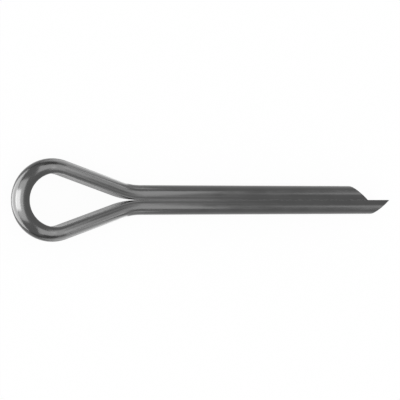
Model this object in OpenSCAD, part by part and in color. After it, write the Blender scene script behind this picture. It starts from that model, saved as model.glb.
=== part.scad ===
// Split cotter pin, folded from one length of half-round steel wire.
// The wire is bent round an open eye with its flat side inwards. Its two arms slope
// together, and its two legs then lie flat to flat as one round shank.
// The ends of the legs are cut on a slant, and one leg is longer than the other.
//
// Frame: the origin is on the axis of the shank, where the bends between arms and legs
// end and the round shank begins. The shank runs along +X, +Y points across the pin to
// the shorter leg, and +Z is square to the plane of the eye.

/* [Wire] */
// Diameter of the shank, which both legs make together (mm)
shank_d = 4.5; // [3:0.1:6.3]
// Width of the split between the flats of the two legs (mm)
leg_gap = 0.03; // [0.02:0.01:0.2]
// Radius of the two long edges of the wire, beside its flat (mm)
edge_r = 0.1; // [0.05:0.01:0.3]
// Angle at which each edge radius runs into the flat and the back (degrees)
edge_blend = 10; // [6:1:30]
// How much fuller than straight wire, all round, the wire is where it is bent (mm)
bend_swell = 0.008; // [0.004:0.001:0.009]

/* [Eye] */
// Inside radius of the eye, to the flat of the wire (mm)
eye_r = 3.93; // [2.6:0.01:6]
// Slope of each arm from the eye down to the shank (degrees)
arm_slope = 19.4; // [14:0.1:28]
// Radius of the bend between arm and leg, to the round back of the wire (mm)
shoulder_r = 9.15; // [5:0.05:14]

/* [Legs] */
// Length from the mouth of the hole to the tip of the shorter leg (mm)
pin_length = 40; // [25:0.5:80]
// How far the longer leg reaches past the shorter one (mm)
leg_extra = 3.9; // [2:0.1:5]
// Angle between the cut end of a leg and the flat of the wire (degrees)
tip_angle = 45; // [35:1:70]

/* [Hole] */
// How much wider the hole is than the shank (mm)
hole_clearance = 0.5; // [0.2:0.1:1]

/* [Hidden] */

// Bright drawn steel
steel = [0.66, 0.67, 0.68];
// Smoothness of every round
$fn = 96;
// How far straight wire runs on into the bends at its ends (mm)
lap = 0.03;

// Section of straight wire, measured from the centre of its round back
back_r = shank_d / 2;
flat_y = leg_gap / 2;
edge_depth = edge_r * cos(edge_blend);
edge_y = flat_y + edge_depth;
edge_x = sqrt(pow(back_r - edge_depth, 2) - pow(edge_y, 2));

// Path of that centre round the eye, down each arm and through each shoulder
eye_path_r = eye_r - flat_y;
shoulder_path_r = shoulder_r + back_r;
shoulder_run = shoulder_path_r * tan(arm_slope / 2);
arm_run = eye_path_r / tan(arm_slope) - shoulder_run;
eye_x = -shoulder_run - eye_path_r / sin(arm_slope);

// The backs of the arms stop the pin where they have risen to the edge of the hole,
// on the shoulder bend or beyond it on the arm
seat_rise = hole_clearance / 2;
bend_rise = shoulder_r * (1 - cos(arm_slope));
seat_on_bend = sqrt(pow(shoulder_r, 2) - pow(shoulder_r - min(seat_rise, bend_rise), 2));
seat_on_arm = max(seat_rise - bend_rise, 0) / tan(arm_slope);
mouth_x = -seat_on_bend - seat_on_arm;

// Tips of the two legs
short_tip_x = mouth_x + pin_length;
long_tip_x = short_tip_x + leg_extra;

// Section of the wire: a half-round with its flat below and its back above. Between the
// edges the outline is bounded by lines through the centres of the edge radii, and each
// radius closes a corner, trimmed by the flat and the back.
module wire_section(swell = 0) {
    beyond = 2;
    intersection() {
        circle(r = back_r + swell);
        translate([-shank_d, flat_y - swell])
            square([2 * shank_d, 2 * shank_d]);
        union() {
            polygon([
                [-edge_x, -edge_y],
                [edge_x, -edge_y],
                [edge_x, edge_y],
                [beyond * edge_x, beyond * edge_y],
                [beyond * edge_x, beyond * shank_d],
                [-beyond * edge_x, beyond * shank_d],
                [-beyond * edge_x, beyond * edge_y],
                [-edge_x, edge_y]
            ]);
            for (side = [-1, 1])
                translate([side * edge_x, edge_y])
                    circle(r = edge_r + swell);
        }
    }
}

// Straight wire along +X with its back towards +Y, from start to end
module straight_wire(start, end) {
    translate([start, 0, 0])
        rotate([0, 90, 0])
            linear_extrude(height = end - start)
                wire_section();
}

// Wire bent about the Z axis, with its back away from the axis or towards it
module bent_wire(path_r, start, turn, back_out) {
    rotate_extrude(start = start, angle = turn)
        translate([path_r, 0])
            rotate(back_out ? -90 : 90)
                wire_section(bend_swell);
}

// Everything beyond the slanted end of a leg, whose tip is on the flat of the wire
module beyond_tip() {
    slant = 1 / tan(tip_angle);
    translate([0, flat_y, -shank_d])
        linear_extrude(height = 2 * shank_d)
            polygon([
                [slant * shank_d, -shank_d],
                [slant * shank_d + 2 * shank_d, -shank_d],
                [slant * shank_d + 2 * shank_d, shank_d],
                [-slant * shank_d, shank_d]
            ]);
}

// Arm, shoulder and leg on the +Y side of the pin, with the tip of the leg at tip_x
module side_of_pin(tip_x) {
    translate([eye_x, 0, 0])
        rotate(-arm_slope)
            translate([0, eye_path_r, 0])
                straight_wire(-lap, arm_run + lap);
    translate([0, shoulder_path_r, 0])
        bent_wire(shoulder_path_r, 270 - arm_slope, arm_slope, false);
    difference() {
        straight_wire(-lap, tip_x + shank_d);
        translate([tip_x, 0, 0])
            beyond_tip();
    }
}

module cotter_pin() {
    color(steel) {
        translate([eye_x, 0, 0])
            bent_wire(eye_path_r, 90 - arm_slope, 180 + 2 * arm_slope, true);
        side_of_pin(short_tip_x);
        mirror([0, 1, 0])
            side_of_pin(long_tip_x);
    }
}

cotter_pin();
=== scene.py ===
"""A split cotter pin of drawn half-round steel wire, lying on a pale table under soft light.

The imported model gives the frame: one solid, ``cotter_pin``. One swept piece of wire stands
for it, with a finer surface, sheared ends and a drawn finish. All lengths here are
millimetres until a mesh or an object is made, and metres from there on.
"""

import logging
import math
from collections.abc import Sequence
from dataclasses import dataclass, field, replace
from enum import Enum
from typing import Union

import bpy
import numpy as np
from mathutils import Matrix, Vector

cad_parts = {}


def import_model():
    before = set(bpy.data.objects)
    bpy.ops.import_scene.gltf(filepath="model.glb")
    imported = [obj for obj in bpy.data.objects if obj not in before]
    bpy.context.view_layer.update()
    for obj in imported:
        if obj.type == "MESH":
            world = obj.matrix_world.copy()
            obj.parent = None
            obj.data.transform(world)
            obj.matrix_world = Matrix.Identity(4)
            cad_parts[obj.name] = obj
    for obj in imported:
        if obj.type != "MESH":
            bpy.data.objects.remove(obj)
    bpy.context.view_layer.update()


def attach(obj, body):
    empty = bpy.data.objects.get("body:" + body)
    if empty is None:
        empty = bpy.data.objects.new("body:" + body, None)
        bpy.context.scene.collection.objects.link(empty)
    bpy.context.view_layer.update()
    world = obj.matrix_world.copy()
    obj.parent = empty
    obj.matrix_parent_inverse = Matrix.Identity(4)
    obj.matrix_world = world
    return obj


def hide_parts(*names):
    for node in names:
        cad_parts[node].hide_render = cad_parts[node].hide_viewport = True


MM = 0.001
MICROMETRE = 1e-6
MIX_COLOURS = (6, 7)
MIX_RESULT = 2
NODE = "cotter_pin"
PLACE = "wire_place"
WORN_AND_SHEEN = "wire_worn_and_sheen"
LOG = logging.getLogger("cotter_pin")

Pair = tuple[float, float]
Triple = tuple[float, float, float]
Socket = bpy.types.NodeSocket
Value = Union[Socket, float, Sequence[float]]
Surface = tuple[Socket, Socket, Socket]
Face = tuple[int, ...]


class Side(Enum):
    """The side of the pin that an arm and its leg are on, by the sign of Y."""

    SHORT = 1
    LONG = -1


class Part(Enum):
    """The parts of the wire that have a finish each, by its place among the materials."""

    BACK = 0
    ENDS = 1
    FLAT = 2


# ----- The wire -----


def arc(centre: Pair, radius: float, turns: np.ndarray) -> np.ndarray:
    """Points on an arc, at angles in radians: a row of place and outward direction for each."""
    out = np.column_stack((np.cos(turns), np.sin(turns)))
    return np.hstack((np.array(centre) + radius * out, out))


@dataclass(frozen=True)
class WireSection:
    """A half-round section with rounded long edges, measured from the centre of its back.

    The first coordinate runs along the flat, and the second points from the flat to the
    top of the round back.

    Attributes:
        back_radius: Radius of the round back.
        flat_height: Height of the flat over the centre of the back, where the wire is open.
        pressed_height: Height of the flat, where the two legs are pressed together.
        edge_radius: Radius of each long edge, where the wire is open.
        pressed_radius: Radius of each long edge, where the two legs are pressed together.
        least_edge: Radius that a long edge keeps, however far the outline is drawn in.
        back_steps: Faces across the round back.
        flat_steps: Faces across the flat.
        edge_steps: Faces round each long edge.
    """

    back_radius: float = 2.25
    flat_height: float = 0.015
    pressed_height: float = 0.001
    edge_radius: float = 0.05
    pressed_radius: float = 0.006
    least_edge: float = 0.001
    back_steps: int = 60
    flat_steps: int = 12
    edge_steps: int = 6

    def outline(
        self, inset: float = 0.0, pressed: float = 0.0, thinned: float = 0.0
    ) -> tuple[np.ndarray, np.ndarray]:
        """Points round the section, from one end of the flat over the back to the other.

        Args:
            inset: How far the outline is drawn in, square to itself.
            pressed: How far the flat and its edges are pressed home, from 0 to 1.
            thinned: How much of the flat the bending has taken, in millimetres.

        Returns:
            The points, closed by joining the last to the first, and the direction in which
            the surface faces at each.
        """
        rounding = self.edge_radius + (self.pressed_radius - self.edge_radius) * pressed
        rounding = max(rounding, inset + self.least_edge)
        flat = self.flat_height + (self.pressed_height - self.flat_height) * pressed
        flat += thinned * (1 - pressed)
        back = self.back_radius - inset
        edge = rounding - inset
        edge_y = flat + rounding
        edge_x = math.sqrt((self.back_radius - rounding) ** 2 - edge_y**2)
        blend = math.atan2(edge_y, edge_x)
        quarter = math.pi / 2 + blend
        edges = quarter * np.arange(self.edge_steps + 1) / self.edge_steps
        across = (math.pi - 2 * blend) * np.arange(self.back_steps) / self.back_steps
        along_flat = edge_x * (2 * np.arange(1, self.flat_steps) / self.flat_steps - 1)
        rows = [
            *arc((edge_x, edge_y), edge, edges[:-1] - math.pi / 2),
            *arc((0.0, 0.0), back, blend + across),
            *arc((-edge_x, edge_y), edge, math.pi - blend + edges),
            *((place, flat + inset, 0.0, -1.0) for place in along_flat),
        ]
        return np.array(rows)[:, :2], np.array(rows)[:, 2:]

    def wear_and_sheen(self) -> np.ndarray:
        """Where the outline is rubbed, and lightened into a painted highlight along its long edges.

        Returns:
            The mark at each point, 1 on the long edges and 0 elsewhere: real rubbing there, and a
            painted highlight.
        """
        worn_and_sheen = np.zeros(2 * self.edge_steps + self.back_steps + self.flat_steps)
        for start in (0, self.edge_steps + self.back_steps):
            worn_and_sheen[start : start + self.edge_steps + 1] = 1.0
        return worn_and_sheen


@dataclass(frozen=True)
class PinShape:
    """The folded line of the wire, in the plane of the eye.

    Attributes:
        eye_radius: Inside radius of the eye, to the flat of the wire.
        arm_slope: Slope of each arm to the shank, in degrees.
        shoulder_radius: Radius of the bend between arm and leg, to the round back.
        hole_clearance: How much wider the hole is than the shank.
        pin_length: From the mouth of the hole to the tip of the shorter leg.
        leg_extra: How far the longer leg reaches past the shorter one.
        tip_angle: Angle between the cut end of a leg and the flat, in degrees.
        section: The wire's own section.
    """

    eye_radius: float = 3.93
    arm_slope: float = 19.4
    shoulder_radius: float = 9.15
    hole_clearance: float = 0.5
    pin_length: float = 40.0
    leg_extra: float = 3.9
    tip_angle: float = 45.0
    section: WireSection = field(default_factory=WireSection)

    @property
    def slope(self) -> float:
        """Slope of an arm in radians."""
        return math.radians(self.arm_slope)

    @property
    def eye_path(self) -> float:
        """Radius that the centre of the back follows round the eye."""
        return self.eye_radius - self.section.flat_height

    @property
    def shoulder_path(self) -> float:
        """Radius that the centre of the back follows through a shoulder bend."""
        return self.shoulder_radius + self.section.back_radius

    @property
    def shoulder_run(self) -> float:
        """Length along the shank from a shoulder's corner to the end of its bend."""
        return self.shoulder_path * math.tan(self.slope / 2)

    @property
    def arm_run(self) -> float:
        """Length of the straight part of an arm."""
        return self.eye_path / math.tan(self.slope) - self.shoulder_run

    @property
    def eye_x(self) -> float:
        """Place of the middle of the eye along the pin."""
        return -self.shoulder_run - self.eye_path / math.sin(self.slope)

    def tip_x(self, side: Side) -> float:
        """Place of the tip of one leg along the pin.

        Args:
            side: The side of the pin.

        Returns:
            Its place, measured from the start of the legs.
        """
        rise = self.shoulder_radius - self.hole_clearance / 2
        mouth = -math.sqrt(self.shoulder_radius**2 - rise**2)
        return mouth + self.pin_length + (self.leg_extra if side is Side.LONG else 0.0)


@dataclass
class Ring:
    """One closed row of points round the wire.

    Attributes:
        points: Where the points are, in millimetres.
        facing: The direction in which the surface faces at each point.
        place: Where each point lies in the straight wire: along it, across it and over it.
        worn_and_sheen: How rubbed each point is, and how strong its painted edge highlight, from 0 to
            1.
    """

    points: np.ndarray
    facing: np.ndarray
    place: np.ndarray
    worn_and_sheen: np.ndarray


@dataclass
class FoldedWire:
    """The pin itself: one wire, folded into eye, arms, shoulders and legs.

    Attributes:
        shape: The folded line and its section.
        eye_steps: Stretches of mesh round the eye.
        arm_steps: Stretches along each straight arm.
        shoulder_steps: Stretches round each shoulder bend.
        leg_steps: Stretches along each leg.
        leg_crowding: Power by which they get shorter towards the cut end.
        broken_edge: Radius to which the edges of the cut ends are rubbed round.
        broken_steps: Faces round each such edge.
        cap_rings: Rings of faces across each cut end.
        cap_centre: Height at which they close over the centre of the back, as a share of
            its radius.
        press_range: Where along the pin the edges start to be pressed sharp, and are sharp.
        open_thinning: How much thinner the wire is where it is not pressed.
        eye_thinning: How much thinner still it is at the far end of the eye.
        name: Name of the piece.
    """

    shape: PinShape = field(default_factory=PinShape)
    eye_steps: int = 220
    arm_steps: int = 36
    shoulder_steps: int = 44
    leg_steps: int = 90
    leg_crowding: float = 1.6
    broken_edge: float = 0.02
    broken_steps: int = 4
    cap_rings: int = 10
    cap_centre: float = 0.42
    press_range: Pair = (-0.4, 1.0)
    open_thinning: float = 0.02
    eye_thinning: float = 0.06
    name: str = "cotter_pin_wire"

    def side_path(self, side: Side) -> list[tuple[Vector, Vector]]:
        """The line of one side, from the end of the eye to the start of the leg.

        Args:
            side: The side of the pin.

        Returns:
            Pairs of the centre of the back and the direction in which the back faces.
        """
        s = self.shape
        sign = side.value
        found: list[tuple[Vector, Vector]] = []
        back = Vector((math.sin(s.slope), sign * math.cos(s.slope), 0.0))
        along = Vector((math.cos(s.slope), -sign * math.sin(s.slope), 0.0))
        start = Vector((s.eye_x, 0.0, 0.0)) + back * s.eye_path
        for i in range(self.arm_steps):
            found.append((start + along * (s.arm_run * i / self.arm_steps), back))
        centre = Vector((0.0, sign * s.shoulder_path, 0.0))
        for i in range(self.shoulder_steps):
            turn = s.slope * (1 - i / self.shoulder_steps)
            facing = Vector((math.sin(turn), sign * math.cos(turn), 0.0))
            found.append((centre - facing * s.shoulder_path, facing))
        return found

    def path(self) -> list[tuple[Vector, Vector]]:
        """The whole line between the two legs, from the shorter leg round to the longer.

        Returns:
            Pairs of the centre of the back and the direction in which the back faces.
        """
        s = self.shape
        found = list(reversed(self.side_path(Side.SHORT)))
        first = math.pi / 2 - s.slope
        sweep = math.pi + 2 * s.slope
        for i in range(1, self.eye_steps):
            turn = first + sweep * i / self.eye_steps
            facing = Vector((math.cos(turn), math.sin(turn), 0.0))
            found.append((Vector((s.eye_x, 0.0, 0.0)) + facing * s.eye_path, facing))
        return found + self.side_path(Side.LONG)

    @staticmethod
    def in_space(flat_pairs: np.ndarray, facing: Vector) -> np.ndarray:
        """Turns pairs across and over the section into vectors in space.

        Args:
            flat_pairs: Pairs in the plane of the section.
            facing: The direction in which the back faces.

        Returns:
            An array of the same length, of vectors.
        """
        found = np.empty((len(flat_pairs), 3))
        found[:, 0] = flat_pairs[:, 1] * facing.x
        found[:, 1] = flat_pairs[:, 1] * facing.y
        found[:, 2] = flat_pairs[:, 0]
        return found

    def pressed(self, x: float) -> float:
        """How far the two legs are pressed together at a place along the pin, from 0 to 1."""
        start, end = self.press_range
        return min(max((x - start) / (end - start), 0.0), 1.0)

    def folded_rings(self) -> list[Ring]:
        """The rings between the two legs.

        Returns:
            The rings, from the shorter leg to the longer.
        """
        # The edge mark: real rubbing and a painted highlight along the open long edges, none where the
        # legs are pressed together.
        worn_and_sheen = self.shape.section.wear_and_sheen()
        path = self.path()
        steps = [(b[0] - a[0]).length for a, b in zip(path, path[1:])]
        run = -sum(steps) / 2
        found = []
        for (centre, facing), step in zip(path, [0.0, *steps]):
            run += step
            pressed = self.pressed(centre.x)
            thinned = self.open_thinning + self.eye_thinning * max(-facing.x, 0.0) ** 2
            outline, outward = self.shape.section.outline(0.0, pressed, thinned)
            points = self.in_space(outline, facing) + np.array(centre)
            outward = self.in_space(outward, facing)
            place = np.column_stack((np.full(len(outline), run), outline))
            found.append(Ring(points, outward, place, worn_and_sheen * (1 - pressed)))
        return found

    def cut_x(self, side: Side, height: np.ndarray) -> np.ndarray:
        """Where a leg's slanted end lies along the pin, at heights over the centre of the back."""
        slant = 1 / math.tan(math.radians(self.shape.tip_angle))
        return self.shape.tip_x(side) - (height - self.shape.section.flat_height) * slant

    def leg_ring(
        self, side: Side, start: float, drawn: np.ndarray, along: np.ndarray, facing: np.ndarray
    ) -> Ring:
        """One unworn ring of a leg.

        Args:
            side: The side of the pin.
            start: Length of wire from the middle of the eye to the start of the leg.
            drawn: The outline of the section.
            along: Where each of its points lies along the leg.
            facing: The direction in which the surface faces at each point.

        Returns:
            The ring.
        """
        points = self.in_space(drawn, Vector((0.0, float(side.value), 0.0)))
        points[:, 0] = along
        run = (start + along) * -side.value
        return Ring(points, facing, np.column_stack((run, drawn)), np.zeros(len(drawn)))

    def leg_rings(self, side: Side, start: float) -> list[Ring]:
        """The rings of one leg, from its start out to the middle of its cut end.

        Args:
            side: The side of the pin.
            start: Length of wire from the middle of the eye to the start of the leg.

        Returns:
            The rings, the last ones closing in on the middle of the cut.
        """
        section = self.shape.section
        outline, outward = section.outline(0.0, 1.0)
        back = Vector((0.0, float(side.value), 0.0))
        tip = math.radians(self.shape.tip_angle)
        cut = np.array((math.sin(tip), side.value * math.cos(tip), 0.0))
        sides = self.in_space(outward, back)
        rings: list[Ring] = []
        end = self.cut_x(side, outline[:, 1]) - self.broken_edge
        for i in range(self.leg_steps + 1):
            share = 1 - (1 - i / self.leg_steps) ** self.leg_crowding
            pressed = self.pressed(end.max() * share)
            drawn, outward = section.outline(0.0, pressed, self.open_thinning)
            rings.append(self.leg_ring(side, start, drawn, end * share, self.in_space(outward, back)))
        for i in range(1, self.broken_steps + 1):
            turn = math.pi / 2 * i / self.broken_steps
            inset, _ = section.outline(self.broken_edge * (1 - math.cos(turn)), 1.0)
            along = self.cut_x(side, inset[:, 1]) - self.broken_edge * (1 - math.sin(turn))
            facing = sides * math.cos(turn) + cut * math.sin(turn)
            facing /= np.linalg.norm(facing, axis=1)[:, None]
            ring = self.leg_ring(side, start, inset, along, facing)
            # The rubbed edges of the cut carry the painted edge highlight as well.
            ring.worn_and_sheen[:] = 1.0
            rings.append(ring)
        rim, _ = section.outline(self.broken_edge, 1.0)
        middle = np.array([0.0, section.back_radius * self.cap_centre])
        facing = np.tile(cut, (len(rim), 1))
        for i in range(1, self.cap_rings):
            drawn = middle + (rim - middle) * (1 - i / self.cap_rings)
            rings.append(self.leg_ring(side, start, drawn, self.cut_x(side, drawn[:, 1]), facing))
        return rings

    def rings(self) -> list[Ring]:
        """The rings of the whole wire, and the point that closes each end.

        Returns:
            The rings from one cut end to the other, then two rings of a single point.
        """
        folded = self.folded_rings()
        start = folded[-1].place[0, 0]
        found = list(reversed(self.leg_rings(Side.SHORT, start))) + folded
        found += self.leg_rings(Side.LONG, start)
        hubs = []
        for ring in (found[0], found[-1]):
            middle = ring.points.mean(axis=0, keepdims=True)
            place = ring.place.mean(axis=0, keepdims=True)
            hubs.append(Ring(middle, ring.facing[:1], place, np.zeros(1)))
        return found + hubs

    def faces(self, rows: int, count: int) -> list[tuple[Face, int]]:
        """The faces over the rings.

        Args:
            rows: Number of rings, without the two points that close the ends.
            count: Number of points in each.

        Returns:
            Pairs of a face, by the numbers of its points, and the place of its finish.
        """
        first_flat = count - self.shape.section.flat_steps
        found: list[tuple[Face, int]] = []
        pairs = [(i, (i + 1) % count) for i in range(count)]
        for k in range(rows - 1):
            sheared = k < self.cap_rings - 1 or k >= rows - self.cap_rings
            low = k * count
            high = low + count
            for i, j in pairs:
                finish = Part.ENDS if sheared else Part.FLAT if i >= first_flat else Part.BACK
                found.append(((low + i, low + j, high + j, high + i), finish.value))
        hub = rows * count
        last = hub - count
        found += [((j, i, hub), Part.ENDS.value) for i, j in pairs]
        found += [((last + i, last + j, hub + 1), Part.ENDS.value) for i, j in pairs]
        return found

    def build(self) -> bpy.types.Object:
        """Makes the wire as one closed mesh, and keeps what its finish needs on its points.

        Returns:
            The new object, in the scene.
        """
        rings = self.rings()
        points = np.vstack([ring.points for ring in rings]) * MM
        faces, finishes = zip(*self.faces(len(rings) - 2, len(rings[0].points)))
        mesh = bpy.data.meshes.new(self.name)
        mesh.from_pydata(points, [], faces)
        mesh.polygons.foreach_set("material_index", finishes)
        mesh.polygons.foreach_set("use_smooth", [True] * len(faces))
        kept = mesh.attributes.new(PLACE, "FLOAT_VECTOR", "POINT")
        kept.data.foreach_set("vector", np.vstack([ring.place for ring in rings]).ravel())
        kept = mesh.attributes.new(WORN_AND_SHEEN, "FLOAT", "POINT")
        kept.data.foreach_set("value", np.concatenate([ring.worn_and_sheen for ring in rings]))
        mesh.normals_split_custom_set_from_vertices(np.vstack([ring.facing for ring in rings]))
        wire = bpy.data.objects.new(self.name, mesh)
        bpy.context.scene.collection.objects.link(wire)
        return wire


# ----- The finish -----


@dataclass
class Bench:
    """A node tree, with short calls for adding nodes and joining them.

    Attributes:
        tree: The tree that takes the nodes.
    """

    tree: bpy.types.NodeTree

    def add(self, kind: str, **values: object) -> bpy.types.Node:
        """Adds a node and sets the properties named.

        Args:
            kind: Identifier of the kind of node.
            **values: Properties of the node.

        Returns:
            The new node.
        """
        node = self.tree.nodes.new(kind)
        for name, value in values.items():
            setattr(node, name, value)
        return node

    def feed(self, socket: Socket, value: Value) -> None:
        """Links a socket to another one, or sets its plain value.

        Args:
            socket: The input.
            value: The output that feeds it, or a number or colour.
        """
        if isinstance(value, bpy.types.NodeSocket):
            self.tree.links.new(value, socket)
        else:
            socket.default_value = value

    def maths(
        self, operation: str, first: Value, second: Value, kind: str = "ShaderNodeMath"
    ) -> Socket:
        """Adds one step of arithmetic.

        Args:
            operation: Name of the operation.
            first: First number, vector or socket.
            second: Second number, vector or socket.
            kind: Identifier of the kind of node.

        Returns:
            The socket with the result.
        """
        node = self.add(kind, operation=operation)
        self.feed(node.inputs[0], first)
        self.feed(node.inputs[1], second)
        return node.outputs[0]

    def vectors(self, operation: str, first: Value, second: Value) -> Socket:
        """Adds one step of arithmetic on vectors, with a vector for its result."""
        return self.maths(operation, first, second, "ShaderNodeVectorMath")

    def weighted(self, *terms: tuple[Value, float]) -> Socket:
        """Adds up numbers, each with its own weight.

        Args:
            *terms: Pairs of a number or socket and its weight.

        Returns:
            The socket with the sum.
        """
        parts = [self.maths("MULTIPLY", term, weight) for term, weight in terms]
        total = parts[0]
        for part in parts[1:]:
            total = self.maths("ADD", total, part)
        return total

    def remap(self, value: Socket, source: Pair, target: Pair) -> Socket:
        """Maps one range of a value smoothly to another, and holds it there.

        Args:
            value: The socket with the value.
            source: Start and end of its range.
            target: What the start and the end become.

        Returns:
            The socket with the result.
        """
        node = self.add("ShaderNodeMapRange", interpolation_type="SMOOTHSTEP")
        self.feed(node.inputs["Value"], value)
        node.inputs["From Min"].default_value, node.inputs["From Max"].default_value = source
        node.inputs["To Min"].default_value, node.inputs["To Max"].default_value = target
        return node.outputs["Result"]

    def noise(self, place: Socket, detail: float, roughness: float) -> Socket:
        """Adds a noise texture of about one wave to the unit.

        Args:
            place: The socket with the place.
            detail: Number of finer layers.
            roughness: Strength of each finer layer over the one before.

        Returns:
            The socket with its value.
        """
        node = self.add("ShaderNodeTexNoise")
        self.feed(node.inputs["Vector"], place)
        node.inputs["Scale"].default_value = 1.0
        node.inputs["Detail"].default_value = detail
        node.inputs["Roughness"].default_value = roughness
        return node.outputs["Fac"]


def new_material(name: str) -> tuple[bpy.types.Material, Bench]:
    """Makes an empty material.

    Args:
        name: Its name.

    Returns:
        The material, and the bench of its node tree.
    """
    made = bpy.data.materials.new(name)
    made.use_nodes = True
    made.node_tree.nodes.clear()
    return made, Bench(made.node_tree)


class Effect(Enum):
    """The surface effects that the finishes share, each a node group made once."""

    LINES = "stretched_lines"
    MOTTLE = "mottling"
    NICKS = "handling_nicks"

    def group(self) -> bpy.types.NodeTree:
        """The node group of the effect, made on its first use.

        Returns:
            The node group.
        """
        ready = bpy.data.node_groups.get(self.value)
        if ready is not None:
            return ready
        tree = bpy.data.node_groups.new(self.value, "ShaderNodeTree")
        makers = {Effect.LINES: self.lines, Effect.MOTTLE: self.mottle, Effect.NICKS: self.nicks}
        makers[self](Bench(tree))
        return tree

    @staticmethod
    def sockets(bench: Bench, **inputs: str) -> tuple[bpy.types.Node, Socket]:
        """Gives a group its sockets.

        Args:
            bench: The bench of the group.
            **inputs: The kinds of its inputs, by name.

        Returns:
            The node with what the group is given, and the socket of its one result.
        """
        face = bench.tree.interface
        for name, kind in inputs.items():
            face.new_socket(name, in_out="INPUT", socket_type=f"NodeSocket{kind}")
        face.new_socket("Amount", in_out="OUTPUT", socket_type="NodeSocketFloat")
        return bench.add("NodeGroupInput"), bench.add("NodeGroupOutput").inputs["Amount"]

    @staticmethod
    def lines(bench: Bench) -> None:
        """Fills the group of fine lines: noise drawn out by a scale for each direction.

        Args:
            bench: The bench of the group.
        """
        given, amount = Effect.sockets(bench, Place="Vector", Fineness="Vector")
        fine = bench.vectors("MULTIPLY", given.outputs["Place"], given.outputs["Fineness"])
        bench.feed(amount, bench.noise(fine, detail=3.0, roughness=0.6))

    @staticmethod
    def mottle(bench: Bench) -> None:
        """Fills the group of broad, soft patches.

        Args:
            bench: The bench of the group.
        """
        given, amount = Effect.sockets(bench, Place="Vector", Fineness="Vector")
        broad = bench.vectors("MULTIPLY", given.outputs["Place"], given.outputs["Fineness"])
        patches = bench.noise(broad, detail=2.0, roughness=0.5)
        bench.feed(amount, bench.remap(patches, source=(0.3, 0.7), target=(0.0, 1.0)))

    @staticmethod
    def nicks(bench: Bench) -> None:
        """Fills the group of small separate nicks, laid across the wire.

        Args:
            bench: The bench of the group.
        """
        given, amount = Effect.sockets(
            bench, Place="Vector", Spacing="Float", Share="Float", Reach="Vector"
        )
        spacing = given.outputs["Spacing"]
        counted = bench.vectors("DIVIDE", given.outputs["Place"], spacing)
        cells = bench.add("ShaderNodeTexVoronoi")
        bench.feed(cells.inputs["Vector"], counted)
        cells.inputs["Scale"].default_value = 1.0
        cells.inputs["Detail"].default_value = 0.0
        away = bench.vectors("SUBTRACT", counted, cells.outputs["Position"])
        away = bench.vectors("MULTIPLY", away, spacing)
        length = bench.add("ShaderNodeVectorMath", operation="LENGTH")
        bench.feed(length.inputs[0], bench.vectors("DIVIDE", away, given.outputs["Reach"]))
        struck = bench.remap(length.outputs["Value"], source=(0.5, 1.0), target=(1.0, 0.0))
        parts = bench.add("ShaderNodeSeparateColor")
        bench.feed(parts.inputs["Color"], cells.outputs["Color"])
        chosen = bench.maths("LESS_THAN", parts.outputs["Red"], given.outputs["Share"])
        bench.feed(amount, bench.maths("MULTIPLY", struck, chosen))


def placed(bench: Bench, effect: Effect, place: Socket, **values: Value) -> Socket:
    """Places an effect in a material, with its own values.

    Args:
        bench: The material's bench.
        effect: The effect.
        place: The socket with the place in the straight wire.
        **values: Values of the group's other inputs, by name in small letters.

    Returns:
        The socket with what the effect gives.
    """
    node = bench.add("ShaderNodeGroup", node_tree=effect.group())
    bench.feed(node.inputs["Place"], place)
    for name, value in values.items():
        bench.feed(node.inputs[name.capitalize()], value)
    return node.outputs[0]


@dataclass(frozen=True)
class Steel:
    """What the finishes of the wire share: their colours and their gloss.

    The fineness of an effect is the number of its waves to a millimetre, along the wire,
    across its flat and over it. Shares are weights, one for each effect.

    Attributes:
        name: Name of the material.
        dark: Colour where the surface is dullest.
        light: Colour where it is cleanest.
        smooth: Roughness where the surface is cleanest.
        rough: Roughness where it is dullest.
    """

    name: str
    dark: Triple
    light: Triple
    smooth: float
    rough: float

    def surface(self, bench: Bench, place: Socket, worn_and_sheen: Socket) -> Surface:
        """The changes over the surface.

        Args:
            bench: The material's bench.
            place: The place in the straight wire.
            worn_and_sheen: Edge rubbing with its painted highlight, from 0 to 1.

        Returns:
            Three sockets: lightness and dullness from 0 to 1, and height in micrometres.
        """
        raise NotImplementedError

    def material(self) -> bpy.types.Material:
        """Makes the material.

        Returns:
            The new material.
        """
        made, bench = new_material(self.name)
        place = bench.add("ShaderNodeAttribute", attribute_name=PLACE).outputs["Vector"]
        worn_and_sheen = bench.add("ShaderNodeAttribute", attribute_name=WORN_AND_SHEEN).outputs["Fac"]
        lightness, dullness, height = self.surface(bench, place, worn_and_sheen)
        colour = bench.add("ShaderNodeMix", data_type="RGBA")
        bench.feed(colour.inputs["Factor"], lightness)
        for socket, value in zip(MIX_COLOURS, (self.dark, self.light)):
            colour.inputs[socket].default_value = (*value, 1.0)
        bump = bench.add("ShaderNodeBump")
        bump.inputs["Strength"].default_value = 1.0
        bump.inputs["Distance"].default_value = MICROMETRE
        bench.feed(bump.inputs["Height"], height)
        steel = bench.add("ShaderNodeBsdfPrincipled")
        roughness = bench.remap(dullness, source=(0.0, 1.0), target=(self.smooth, self.rough))
        bench.feed(steel.inputs["Base Color"], colour.outputs[MIX_RESULT])
        bench.feed(steel.inputs["Roughness"], roughness)
        bench.feed(steel.inputs["Normal"], bump.outputs["Normal"])
        steel.inputs["Metallic"].default_value = 1.0
        out = bench.add("ShaderNodeOutputMaterial")
        bench.feed(out.inputs["Surface"], steel.outputs["BSDF"])
        return made


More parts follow.
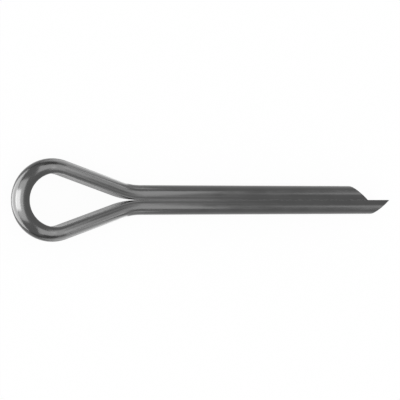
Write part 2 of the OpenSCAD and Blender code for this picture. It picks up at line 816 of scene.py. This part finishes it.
@dataclass(frozen=True)
class DrawnSteel(Steel):
    """Drawn wire: fine lines along it, soft patches and a few small nicks.

    Attributes:
        line_fineness: Fineness of the lines.
        mottle_fineness: Fineness of the patches.
        wave_fineness: Fineness of the broad waves.
        nick_spacing: Distance between places that may have a nick, in millimetres.
        nick_share: Share of those places that have one.
        nick_reach: Half the size of a nick along the wire, across it and over it.
        light_shares: How much lines, patches, rubbed edges and nicks lighten the surface; on the edges
            it is mostly a painted highlight.
        dull_shares: How much the same four dull it.
        line_height: Height of the lines, in micrometres.
        wave_height: Height of the broad waves, in micrometres.
        nick_depth: Depth of the nicks, in micrometres.
    """

    name: str = "drawn_steel"
    dark: Triple = (0.068, 0.068, 0.068)
    light: Triple = (0.093, 0.093, 0.093)
    smooth: float = 0.15
    rough: float = 0.23
    line_fineness: Triple = (0.12, 3.0, 3.0)
    mottle_fineness: Triple = (0.35, 0.7, 0.7)
    wave_fineness: Triple = (0.16, 0.45, 0.45)
    nick_spacing: float = 2.2
    nick_share: float = 0.3
    nick_reach: Triple = (0.07, 0.3, 0.3)
    # The 4.0 on the edges lightens them far past rubbed steel: a painted highlight along them.
    light_shares: tuple[float, ...] = (0.6, 0.2, 4.0, -1.2)
    dull_shares: tuple[float, ...] = (0.5, 0.5, -0.3, 1.0)
    line_height: float = 0.6
    wave_height: float = 4.0
    nick_depth: float = 4.0

    def surface(self, bench: Bench, place: Socket, worn_and_sheen: Socket) -> Surface:
        """The changes over the drawn surface.

        Args:
            bench: The material's bench.
            place: The place in the straight wire.
            worn_and_sheen: Edge rubbing with its painted highlight, from 0 to 1.

        Returns:
            Its lightness, dullness and height.
        """
        lines = placed(bench, Effect.LINES, place, fineness=self.line_fineness)
        mottle = placed(bench, Effect.MOTTLE, place, fineness=self.mottle_fineness)
        waves = placed(bench, Effect.MOTTLE, place, fineness=self.wave_fineness)
        spacing, share, reach = self.nick_spacing, self.nick_share, self.nick_reach
        nicks = placed(bench, Effect.NICKS, place, spacing=spacing, share=share, reach=reach)
        # The edge mark lightens the colour into a painted highlight along the long edges, on top of
        # real rubbing.
        marks = (lines, mottle, worn_and_sheen, nicks)
        lightness = bench.weighted(*zip(marks, self.light_shares))
        dullness = bench.weighted(*zip(marks, self.dull_shares))
        heights = ((lines, self.line_height), (waves, self.wave_height), (nicks, -self.nick_depth))
        return bench.maths("MAXIMUM", lightness, 0.0), dullness, bench.weighted(*heights)


@dataclass(frozen=True)
class RolledSteel(Steel):
    """The flat inside of the wire: brighter than the round back, with coarser lines along it.

    Attributes:
        line_fineness: Fineness of the lines.
        mottle_fineness: Fineness of the patches.
        light_shares: How much lines and patches lighten the surface.
        dull_shares: How much they dull it.
        heights: Heights of the lines and of the patches, in micrometres.
    """

    name: str = "rolled_steel"
    dark: Triple = (0.15, 0.15, 0.15)
    light: Triple = (0.25, 0.25, 0.25)
    smooth: float = 0.24
    rough: float = 0.34
    line_fineness: Triple = (0.1, 2.0, 2.0)
    mottle_fineness: Triple = (0.3, 0.6, 0.6)
    light_shares: Pair = (0.6, 0.3)
    dull_shares: Pair = (0.4, 0.6)
    heights: Pair = (0.9, 3.0)

    def surface(self, bench: Bench, place: Socket, worn_and_sheen: Socket) -> Surface:
        """The changes over the flat, which takes no edge marks.

        Args:
            bench: The material's bench.
            place: The place in the straight wire.
            worn_and_sheen: Edge rubbing with its painted highlight; not used here.

        Returns:
            Its lightness, dullness and height.
        """
        lines = placed(bench, Effect.LINES, place, fineness=self.line_fineness)
        mottle = placed(bench, Effect.MOTTLE, place, fineness=self.mottle_fineness)
        marks = (lines, mottle)
        lightness = bench.weighted(*zip(marks, self.light_shares))
        dullness = bench.weighted(*zip(marks, self.dull_shares))
        return lightness, dullness, bench.weighted(*zip(marks, self.heights))


@dataclass(frozen=True)
class ShearedSteel(Steel):
    """The cut ends: a bright band where the blade went in, and a torn one where it broke.

    Attributes:
        mark_fineness: Fineness of the marks of the blade.
        torn_fineness: Fineness of the torn surface.
        light_shares: How much marks and tearing lighten their bands.
        dull_shares: How much marks and tearing dull the surface.
        heights: Heights of the marks and of the torn surface, in micrometres.
        band: Where over the flat the torn band starts to end, and has ended, in millimetres.
        raggedness: How far the edge of the torn band wanders, in millimetres.
    """

    name: str = "sheared_steel"
    dark: Triple = (0.075, 0.075, 0.075)
    light: Triple = (0.140, 0.140, 0.140)
    smooth: float = 0.2
    rough: float = 0.42
    mark_fineness: Triple = (9.0, 9.0, 0.5)
    torn_fineness: Triple = (5.0, 5.0, 5.0)
    light_shares: Pair = (1.3, 0.5)
    dull_shares: Pair = (0.3, 0.7)
    heights: Pair = (3.0, 14.0)
    band: Pair = (0.85, 1.15)
    raggedness: float = 0.25

    def surface(self, bench: Bench, place: Socket, worn_and_sheen: Socket) -> Surface:
        """The changes over a cut end, which shows no rubbing inside its edges.

        Args:
            bench: The material's bench.
            place: The place in the straight wire.
            worn_and_sheen: Edge rubbing with its painted highlight; not used here.

        Returns:
            Its lightness, dullness and height.
        """
        marks = placed(bench, Effect.LINES, place, fineness=self.mark_fineness)
        torn = placed(bench, Effect.MOTTLE, place, fineness=self.torn_fineness)
        over = bench.add("ShaderNodeSeparateXYZ")
        bench.feed(over.inputs["Vector"], place)
        edge = bench.maths("ADD", over.outputs["Z"], bench.maths("MULTIPLY", torn, self.raggedness))
        broken = bench.remap(edge, source=self.band, target=(1.0, 0.0))
        clean = bench.maths("SUBTRACT", 1.0, broken)
        bands = (bench.maths("MULTIPLY", marks, clean), bench.maths("MULTIPLY", torn, broken))
        lightness = bench.weighted(*zip(bands, self.light_shares))
        dullness = bench.weighted(*zip((marks, broken), self.dull_shares))
        return lightness, dullness, bench.weighted(*zip(bands, self.heights))


# ----- The studio -----


def card_object(
    name: str, corners: list[Triple], faces: list[Face], finish: bpy.types.Material
) -> bpy.types.Object:
    """Makes a thing of a few flat faces, and puts it in the scene.

    Args:
        name: Its name.
        corners: Its corners, in millimetres.
        faces: Its faces, by the numbers of their corners.
        finish: Its material.

    Returns:
        The new object.
    """
    mesh = bpy.data.meshes.new(name)
    mesh.from_pydata([tuple(c * MM for c in corner) for corner in corners], [], faces)
    mesh.materials.append(finish)
    made = bpy.data.objects.new(name, mesh)
    bpy.context.scene.collection.objects.link(made)
    return made


@dataclass(frozen=True)
class Glow:
    """A bright plain rectangle that shows in the metal and nowhere else.

    Attributes:
        name: Name of the light.
        size: Width and height, in millimetres.
        radiance: Brightness of its face, where 1 is white.
    """

    name: str
    size: Pair
    radiance: float

    def frame(self, floor: float) -> Matrix:
        """Where the light is and how it is turned, in millimetres.

        Args:
            floor: Height of the table, in millimetres.

        Returns:
            Its matrix; the light shines along its own -Z.
        """
        raise NotImplementedError

    def opposite(self) -> "Glow":
        """The same light on the other side of the pin."""
        raise NotImplementedError

    def build(self, floor: float) -> bpy.types.Object:
        """Makes the light.

        Args:
            floor: Height of the table, in millimetres.

        Returns:
            The new object.
        """
        light = bpy.data.lights.new(self.name, "AREA")
        light.shape = "RECTANGLE"
        light.size = self.size[0] * MM
        light.size_y = self.size[1] * MM
        light.energy = self.radiance * math.pi * light.size * light.size_y
        lamp = bpy.data.objects.new(self.name, light)
        frame = self.frame(floor)
        lamp.location = frame.translation * MM
        lamp.rotation_mode = "QUATERNION"
        lamp.rotation_quaternion = frame.to_quaternion()
        lamp.visible_camera = False
        lamp.visible_diffuse = False
        bpy.context.scene.collection.objects.link(lamp)
        return lamp


@dataclass(frozen=True)
class SoftBox(Glow):
    """A soft box that faces a point on the pin.

    Attributes:
        stand: Azimuth from +X and angle from straight up, in degrees, and distance from the
            point, in millimetres.
        aim: Place of the point along the pin, in millimetres.
    """

    stand: Triple
    aim: float = 0.0

    def frame(self, floor: float) -> Matrix:
        """Where the box is and how it is turned, in millimetres.

        Args:
            floor: Height of the table, which the box doesn't depend on.

        Returns:
            Its matrix.
        """
        a, z = (math.radians(angle) for angle in self.stand[:2])
        out = Vector((math.cos(a) * math.sin(z), math.sin(a) * math.sin(z), math.cos(z)))
        right = Vector((-math.sin(a), math.cos(a), 0.0))
        turned = Matrix((right, out.cross(right), out)).transposed().to_4x4()
        return Matrix.Translation(Vector((self.aim, 0.0, 0.0)) + out * self.stand[2]) @ turned

    def opposite(self) -> "Glow":
        """The same box on the other side of the pin."""
        stand = (-self.stand[0], *self.stand[1:])
        return replace(self, name=f"{self.name}_opposite", stand=stand)


@dataclass(frozen=True)
class LightSheet(Glow):
    """A sheet of light that lies on the table.

    Attributes:
        centre: Its middle, in millimetres.
        turn: How far it is turned from X, in degrees.
        lift: Its height over the table, in millimetres.
    """

    centre: Pair
    turn: float = 0.0
    lift: float = 0.02

    def frame(self, floor: float) -> Matrix:
        """Where the sheet is and how it is turned, in millimetres.

        Args:
            floor: Height of the table, in millimetres.

        Returns:
            Its matrix.
        """
        place = Matrix.Translation((*self.centre, floor + self.lift))
        turned = Matrix.Rotation(math.radians(self.turn), 4, "Z")
        return place @ turned @ Matrix.Rotation(math.pi, 4, "X")

    def opposite(self) -> "Glow":
        """The same sheet on the other side of the pin."""
        centre = (self.centre[0], -self.centre[1])
        return replace(self, name=f"{self.name}_opposite", centre=centre, turn=-self.turn)


@dataclass(frozen=True)
class Flag:
    """A grey card beside the eye, which darkens what the metal shows and nothing else.

    It lies on the table and stands up at its far end.

    Attributes:
        name: Name of the card.
        side: The side of the pin.
        outline: Corners of the part that lies, for a card on the +Y side, in millimetres.
        height: Height of the part that stands, in millimetres.
        lift: Height of the part that lies over the table, in millimetres.
        grey: Brightness of the card, where 1 is white.
    """

    name: str
    side: Side
    outline: tuple[Pair, ...] = ((-22.0, 11.0), (-12.5, 11.0), (-1.0, 42.0), (-18.0, 42.0))
    height: float = 15.0
    lift: float = 0.01
    grey: float = 0.5

    def build(self, floor: float) -> bpy.types.Object:
        """Makes the card.

        Args:
            floor: Height of the table, in millimetres.

        Returns:
            The card.
        """
        made, bench = new_material(self.name)
        shine = bench.add("ShaderNodeEmission")
        shine.inputs["Strength"].default_value = self.grey
        out = bench.add("ShaderNodeOutputMaterial")
        bench.feed(out.inputs["Surface"], shine.outputs["Emission"])
        sign = self.side.value
        level = floor + self.lift
        corners = [(x, y * sign, level) for x, y in self.outline]
        corners += [(x, y * sign, level + self.height) for x, y in self.outline[2:]]
        card = card_object(self.name, corners, [(0, 1, 2, 3), (3, 2, 4, 5)], made)
        card.visible_camera = False
        card.visible_diffuse = False
        card.visible_shadow = False
        card.visible_transmission = False
        return card


@dataclass(frozen=True)
class Studio:
    """Table, room, lamps and camera.

    Attributes:
        table_size: Side of the square table, in millimetres.
        table_gap: Gap between the pin and the table, in millimetres.
        table_colour: Colour of the table where it takes the light of the room.
        camera_white: Share of plain white in the table, as the camera sees it.
        glossy_white: Share of plain white in the table, as the metal shows it.
        view_angle: How far the camera leans from straight above towards the eye, in degrees.
        camera_distance: Distance of the camera from its target, in millimetres.
        camera_target: Place of the target along the pin, in millimetres.
        lens: Focal length, in millimetres.
        sensor: Width of the camera's sensor, in millimetres.
        clip: Nearest and farthest distance that the camera shows, in metres.
        middle_lights: The lights that stand in line with the pin.
        side_lights: The lights beside it, each with one like it on the other side.
        flags: The grey cards.
    """

    table_size: float = 4000.0
    table_gap: float = 0.004
    table_colour: Triple = (0.95, 0.95, 0.95)
    camera_white: float = 0.96
    glossy_white: float = 0.5
    view_angle: float = 22.16
    camera_distance: float = 211.3
    camera_target: float = 9.776
    lens: float = 123.6
    sensor: float = 36.0
    clip: Pair = (0.01, 10.0)
    middle_lights: tuple[Glow, ...] = (
        SoftBox("end_box", size=(12.0, 12.0), radiance=6.0, stand=(180.0, 80.0, 12.0), aim=-20.0),
        SoftBox("end_wide_box", size=(28.0, 14.0), radiance=3.0, stand=(180.0, 60.0, 12.0), aim=-20.0),
        SoftBox("top_box", size=(40.0, 30.0), radiance=1.0, stand=(0.0, 20.0, 100.0)),
        LightSheet("end_sheet", size=(60.0, 24.0), radiance=4.5, centre=(-51.0, 0.0)),
    )
    side_lights: tuple[Glow, ...] = (
        SoftBox("side_box", size=(40.0, 90.0), radiance=2.2, stand=(70.0, 52.0, 115.0)),
        SoftBox("eye_box", size=(30.0, 40.0), radiance=2.5, stand=(90.0, 60.0, 60.0), aim=-14.0),
        SoftBox("far_box", size=(260.0, 700.0), radiance=1.5, stand=(49.0, 73.0, 1000.0)),
        SoftBox("far_low_box", size=(260.0, 200.0), radiance=1.5, stand=(49.0, 86.0, 1000.0)),
        SoftBox("inner_box", size=(24.0, 28.0), radiance=0.7, stand=(48.0, 34.0, 120.0)),
        LightSheet("arm_sheet", size=(60.0, 18.0), radiance=1.5, centre=(6.0, 33.5), turn=60.0),
    )
    flags: tuple[Flag, ...] = (Flag("upper_flag", Side.SHORT), Flag("lower_flag", Side.LONG))

    def table(self, level: float) -> bpy.types.Object:
        """Makes the pale table top.

        Args:
            level: Its height, in millimetres.

        Returns:
            The table.
        """
        made, bench = new_material("pale_table")
        path = bench.add("ShaderNodeLightPath")
        kinds = [path.outputs[f"Is {kind} Ray"] for kind in ("Camera", "Transmission")]
        seen = bench.maths("MAXIMUM", *kinds)
        seen = bench.maths("MULTIPLY", seen, self.camera_white)
        mirrored = bench.maths("MULTIPLY", path.outputs["Is Glossy Ray"], self.glossy_white)
        mix = bench.add("ShaderNodeMixShader")
        lit = bench.add("ShaderNodeBsdfDiffuse")
        lit.inputs["Color"].default_value = (*self.table_colour, 1.0)
        bench.feed(mix.inputs["Fac"], bench.maths("MAXIMUM", seen, mirrored))
        bench.feed(mix.inputs[1], lit.outputs["BSDF"])
        bench.feed(mix.inputs[2], bench.add("ShaderNodeEmission").outputs["Emission"])
        out = bench.add("ShaderNodeOutputMaterial")
        bench.feed(out.inputs["Surface"], mix.outputs["Shader"])
        half = self.table_size / 2
        corners = [(half * x, half * y, level) for x, y in ((-1, -1), (1, -1), (1, 1), (-1, 1))]
        table = card_object("table", corners, [(0, 1, 2, 3)], made)
        return table

    def room(self) -> bpy.types.World:
        """Makes the white room round the table.

        Returns:
            The new world.
        """
        world = bpy.data.worlds.new("white_room")
        world.use_nodes = True
        world.node_tree.nodes.clear()
        bench = Bench(world.node_tree)
        light = bench.add("ShaderNodeBackground")
        light.inputs["Color"].default_value = (1.0, 1.0, 1.0, 1.0)
        light.inputs["Strength"].default_value = 1.0
        out = bench.add("ShaderNodeOutputWorld")
        bench.feed(out.inputs["Surface"], light.outputs["Background"])
        bpy.context.scene.world = world
        return world

    def camera(self) -> bpy.types.Object:
        """Makes the camera that looks down on the pin, from the side of its eye.

        Returns:
            The new camera, which is the scene's.
        """
        angle = math.radians(self.view_angle)
        back = Vector((-math.sin(angle), 0.0, math.cos(angle)))
        right = Vector((math.cos(angle), 0.0, math.sin(angle)))
        target = Vector((self.camera_target, 0.0, 0.0))
        lens = bpy.data.cameras.new("camera")
        lens.lens = self.lens
        lens.sensor_width = self.sensor
        lens.clip_start, lens.clip_end = self.clip
        camera = bpy.data.objects.new("camera", lens)
        camera.location = (target + back * self.camera_distance) * MM
        camera.rotation_mode = "QUATERNION"
        turned = Matrix((right, back.cross(right), back)).transposed()
        camera.rotation_quaternion = turned.to_quaternion()
        bpy.context.scene.collection.objects.link(camera)
        bpy.context.scene.camera = camera
        return camera

    def build(self, lowest: float) -> None:
        """Makes the whole studio.

        Args:
            lowest: Lowest point of the pin, in millimetres.
        """
        level = lowest - self.table_gap
        self.table(level)
        self.room()
        self.camera()
        lights = list(self.middle_lights)
        for light in self.side_lights:
            lights += [light, light.opposite()]
        for item in (*lights, *self.flags):
            item.build(level)
        bpy.context.scene.view_settings.view_transform = "Standard"
        LOG.info("studio: %d lights and %d cards", len(lights), len(self.flags))


def main() -> None:
    """Builds the pin and its studio."""
    logging.basicConfig(level=logging.INFO, format="%(name)s: %(message)s")
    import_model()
    wire = FoldedWire().build()
    for finish in (DrawnSteel(), ShearedSteel(), RolledSteel()):
        wire.data.materials.append(finish.material())
    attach(wire, "root")
    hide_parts(NODE)
    LOG.info("%s: %d faces", wire.name, len(wire.data.polygons))
    Studio().build(min(v.co.z for v in wire.data.vertices) / MM)


if __name__ == "__main__":
    main()
